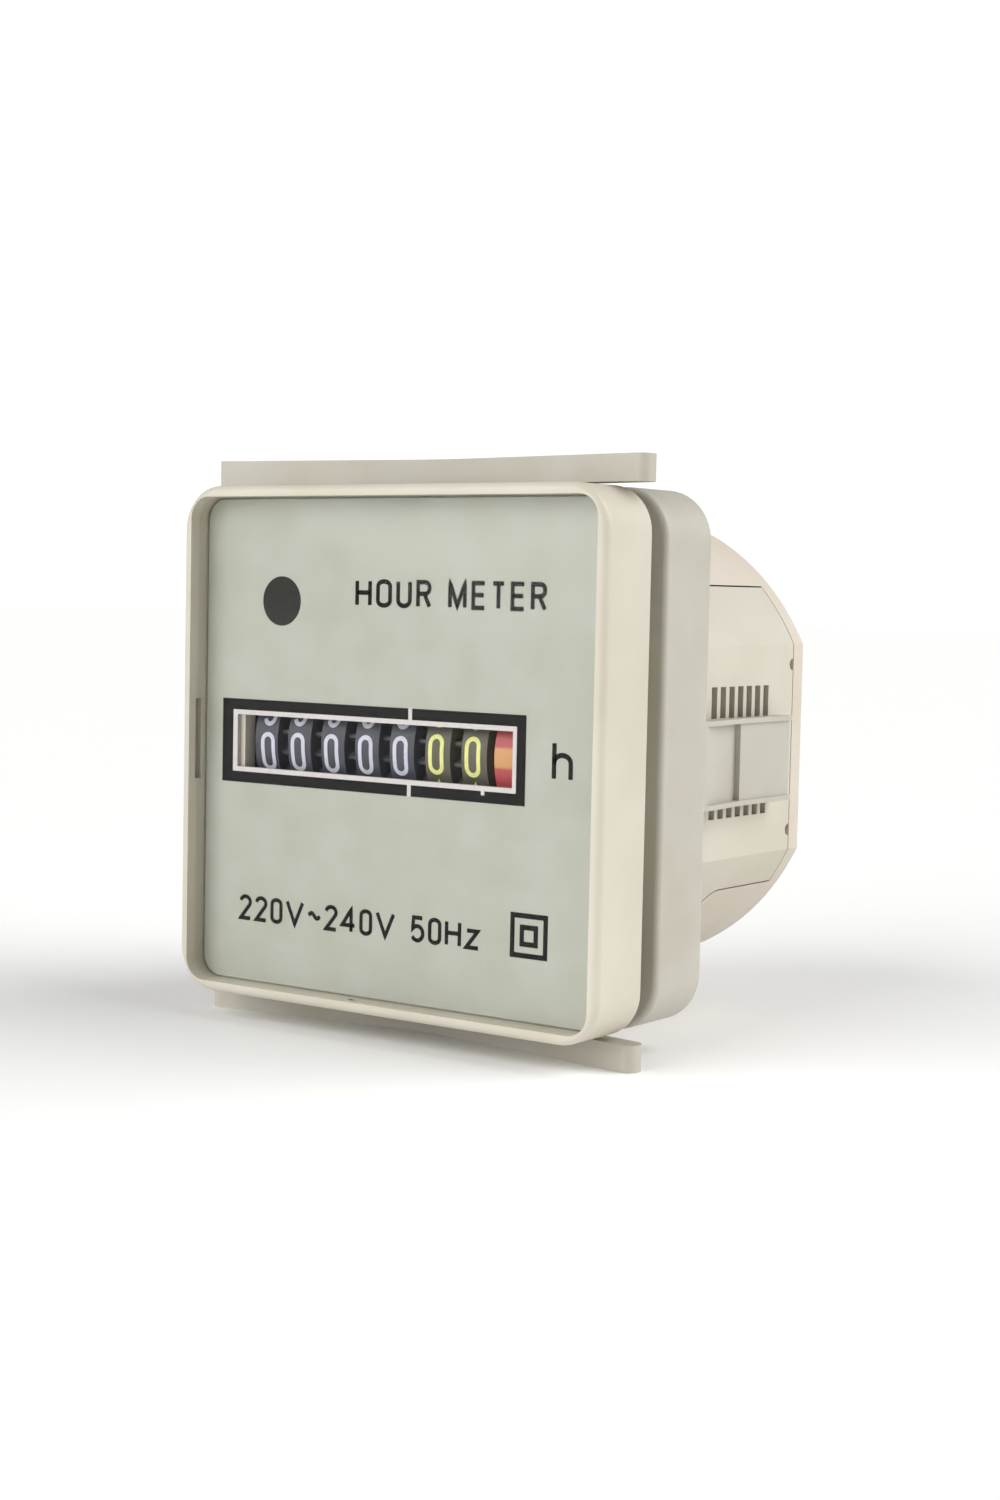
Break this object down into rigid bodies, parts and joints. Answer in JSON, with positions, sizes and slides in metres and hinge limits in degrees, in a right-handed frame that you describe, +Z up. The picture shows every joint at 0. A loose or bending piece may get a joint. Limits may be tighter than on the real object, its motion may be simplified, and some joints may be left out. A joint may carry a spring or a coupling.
{
  "type": "panel hour meter",
  "caption": "Square panel-mount hour meter with a drum counter behind a window, a geared synchronous motor and a clip-on clamp frame.",
  "frame": {"origin": "middle of the panel seat, which is the bezel's rear face, on the body's centreline", "axes": "+Z up, -Y out of the dial towards the reader, +Y into the panel, +X to the reader's right"},
  "size_m": [0.053, 0.0444, 0.0578],
  "materials": {
    "case_plastic": "fine moulded texture",
    "clamp_plastic": "fine moulded texture",
    "cover_plastic": "fine moulded texture",
    "clear_window": "polished",
    "dial_card": "printed",
    "drum_plastic": "satin",
    "indicator_plastic": "satin",
    "gear_plastic": "satin",
    "plated_steel": "zinc plated",
    "bright_steel": "ground",
    "brass": "bare",
    "copper_winding": "enamelled wire",
    "ferrite": "sintered",
    "capacitor_shell": "dipped"
  },
  "bodies": {
    "root": {"case": "case_plastic", "window_lens": "clear_window", "dial_plate": "dial_card", "rear_cover": "cover_plastic", "drum_shaft": "bright_steel", "pinion_shaft": "bright_steel", "left_cheek": "plated_steel", "right_cheek": "plated_steel", "gear_plate": "plated_steel", "gear_bridge": "plated_steel", "tie_bars": "bright_steel", "plate_pillars": "brass", "bridge_pillars": "brass", "gear_pins": "bright_steel", "stator_cup_left": "plated_steel", "stator_cup_right": "plated_steel", "coil_bobbin": "gear_plastic", "coil_winding": "copper_winding", "rotor_bushes": "brass", "coil_pins": "brass", "dropper_capacitor": "capacitor_shell", "capacitor_leads": "bright_steel", "movement_screws": "plated_steel", "motor_screws": "plated_steel", "clutch_washer": "bright_steel", "terminal_bracket_left": "brass", "terminal_bracket_right": "brass"},
    "clamp_frame": {"clamp_frame": "clamp_plastic"},
    "rotor": {"rotor_magnet": "ferrite", "rotor_shaft": "bright_steel", "rotor_pinion": "brass"},
    "run_indicator": {"run_indicator_drum": "indicator_plastic", "drive_gear": "gear_plastic"},
    "reduction_gear_1": {"reduction_gear_1": "gear_plastic"},
    "reduction_gear_2": {"reduction_gear_2": "gear_plastic"},
    "reduction_gear_3": {"reduction_gear_3": "gear_plastic"},
    "reduction_gear_4": {"reduction_gear_4": "gear_plastic"},
    "digit_drum_1": {"digit_drum_1": "drum_plastic"},
    "digit_drum_2": {"digit_drum_2": "drum_plastic"},
    "digit_drum_3": {"digit_drum_3": "drum_plastic"},
    "digit_drum_4": {"digit_drum_4": "drum_plastic"},
    "digit_drum_5": {"digit_drum_5": "drum_plastic"},
    "digit_drum_6": {"digit_drum_6": "drum_plastic"},
    "digit_drum_7": {"digit_drum_7": "drum_plastic"},
    "transfer_pinion_1": {"transfer_pinion_1": "gear_plastic"},
    "transfer_pinion_2": {"transfer_pinion_2": "gear_plastic"},
    "transfer_pinion_3": {"transfer_pinion_3": "gear_plastic"},
    "transfer_pinion_4": {"transfer_pinion_4": "gear_plastic"},
    "transfer_pinion_5": {"transfer_pinion_5": "gear_plastic"},
    "transfer_pinion_6": {"transfer_pinion_6": "gear_plastic"},
    "terminal_clamp_left": {"terminal_clamp_left": "plated_steel"},
    "terminal_screw_left": {"terminal_screw_left": "plated_steel"},
    "terminal_clamp_right": {"terminal_clamp_right": "plated_steel"},
    "terminal_screw_right": {"terminal_screw_right": "plated_steel"}
  },
  "joints": [
    {"name": "clamp_slide", "type": "slide", "parent": "root", "child": "clamp_frame", "axis": [0, 1, 0], "range_m": [-0.0025, 0.036]},
    {"name": "rotor_spin", "type": "hinge", "parent": "root", "child": "rotor", "pos_m": [0, 0.02251, -0.00139], "axis": [1, 0, 0], "continuous": true},
    {"name": "gear_1_spin", "type": "hinge", "parent": "root", "child": "reduction_gear_1", "pos_m": [0, 0.021, 0.00595], "axis": [1, 0, 0], "continuous": true},
    {"name": "gear_2_spin", "type": "hinge", "parent": "root", "child": "reduction_gear_2", "pos_m": [0, 0.02559, -0.00178], "axis": [1, 0, 0], "continuous": true},
    {"name": "gear_3_spin", "type": "hinge", "parent": "root", "child": "reduction_gear_3", "pos_m": [0, 0.01819, -0.00689], "axis": [1, 0, 0], "continuous": true},
    {"name": "gear_4_spin", "type": "hinge", "parent": "root", "child": "reduction_gear_4", "pos_m": [0, 0.0124, 0], "axis": [1, 0, 0], "continuous": true},
    {"name": "indicator_spin", "type": "hinge", "parent": "root", "child": "run_indicator", "pos_m": [0, 0.0034, 0], "axis": [1, 0, 0], "continuous": true},
    {"name": "drum_7_spin", "type": "hinge", "parent": "root", "child": "digit_drum_7", "pos_m": [0, 0.0034, 0], "axis": [1, 0, 0], "continuous": true},
    {"name": "drum_6_spin", "type": "hinge", "parent": "root", "child": "digit_drum_6", "pos_m": [0, 0.0034, 0], "axis": [1, 0, 0], "continuous": true},
    {"name": "drum_5_spin", "type": "hinge", "parent": "root", "child": "digit_drum_5", "pos_m": [0, 0.0034, 0], "axis": [1, 0, 0], "continuous": true},
    {"name": "drum_4_spin", "type": "hinge", "parent": "root", "child": "digit_drum_4", "pos_m": [0, 0.0034, 0], "axis": [1, 0, 0], "continuous": true},
    {"name": "drum_3_spin", "type": "hinge", "parent": "root", "child": "digit_drum_3", "pos_m": [0, 0.0034, 0], "axis": [1, 0, 0], "continuous": true},
    {"name": "drum_2_spin", "type": "hinge", "parent": "root", "child": "digit_drum_2", "pos_m": [0, 0.0034, 0], "axis": [1, 0, 0], "continuous": true},
    {"name": "drum_1_spin", "type": "hinge", "parent": "root", "child": "digit_drum_1", "pos_m": [0, 0.0034, 0], "axis": [1, 0, 0], "continuous": true},
    {"name": "pinion_6_spin", "type": "hinge", "parent": "root", "child": "transfer_pinion_6", "pos_m": [0, 0.00954, -0.00614], "axis": [1, 0, 0], "continuous": true},
    {"name": "pinion_5_spin", "type": "hinge", "parent": "root", "child": "transfer_pinion_5", "pos_m": [0, 0.00954, -0.00614], "axis": [1, 0, 0], "continuous": true},
    {"name": "pinion_4_spin", "type": "hinge", "parent": "root", "child": "transfer_pinion_4", "pos_m": [0, 0.00954, -0.00614], "axis": [1, 0, 0], "continuous": true},
    {"name": "pinion_3_spin", "type": "hinge", "parent": "root", "child": "transfer_pinion_3", "pos_m": [0, 0.00954, -0.00614], "axis": [1, 0, 0], "continuous": true},
    {"name": "pinion_2_spin", "type": "hinge", "parent": "root", "child": "transfer_pinion_2", "pos_m": [0, 0.00954, -0.00614], "axis": [1, 0, 0], "continuous": true},
    {"name": "pinion_1_spin", "type": "hinge", "parent": "root", "child": "transfer_pinion_1", "pos_m": [0, 0.00954, -0.00614], "axis": [1, 0, 0], "continuous": true},
    {"name": "clamp_left_travel", "type": "slide", "parent": "root", "child": "terminal_clamp_left", "axis": [0, 1, 0], "range_m": [0, 0.0015]},
    {"name": "screw_left_turn", "type": "hinge", "parent": "terminal_clamp_left", "child": "terminal_screw_left", "pos_m": [-0.0057, 0.031, -0.0166], "axis": [0, 1, 0], "range_deg": [0, 1080]},
    {"name": "clamp_right_travel", "type": "slide", "parent": "root", "child": "terminal_clamp_right", "axis": [0, 1, 0], "range_m": [0, 0.0015]},
    {"name": "screw_right_turn", "type": "hinge", "parent": "terminal_clamp_right", "child": "terminal_screw_right", "pos_m": [0.0057, 0.031, -0.0166], "axis": [0, 1, 0], "range_deg": [0, 1080]}
  ],
  "couplings": [
    {"joint": "gear_1_spin", "follows": "rotor_spin", "ratio": -0.25},
    {"joint": "gear_2_spin", "follows": "rotor_spin", "ratio": 0.05},
    {"joint": "gear_3_spin", "follows": "rotor_spin", "ratio": -0.01},
    {"joint": "gear_4_spin", "follows": "rotor_spin", "ratio": 0.002},
    {"joint": "indicator_spin", "follows": "rotor_spin", "ratio": -0.00066667},
    {"joint": "drum_6_spin", "follows": "drum_7_spin", "ratio": 0.1},
    {"joint": "drum_5_spin", "follows": "drum_7_spin", "ratio": 0.01},
    {"joint": "drum_4_spin", "follows": "drum_7_spin", "ratio": 0.001},
    {"joint": "drum_3_spin", "follows": "drum_7_spin", "ratio": 0.0001},
    {"joint": "drum_2_spin", "follows": "drum_7_spin", "ratio": 0.00001},
    {"joint": "drum_1_spin", "follows": "drum_7_spin", "ratio": 0.000001},
    {"joint": "pinion_6_spin", "follows": "drum_7_spin", "ratio": -0.25},
    {"joint": "pinion_5_spin", "follows": "drum_7_spin", "ratio": -0.025},
    {"joint": "pinion_4_spin", "follows": "drum_7_spin", "ratio": -0.0025},
    {"joint": "pinion_3_spin", "follows": "drum_7_spin", "ratio": -0.00025},
    {"joint": "pinion_2_spin", "follows": "drum_7_spin", "ratio": -0.000025},
    {"joint": "pinion_1_spin", "follows": "drum_7_spin", "ratio": -0.0000025},
    {"joint": "screw_left_turn", "follows": "clamp_left_travel", "rad_per_m": 12566},
    {"joint": "screw_right_turn", "follows": "clamp_right_travel", "rad_per_m": 12566}
  ]
}
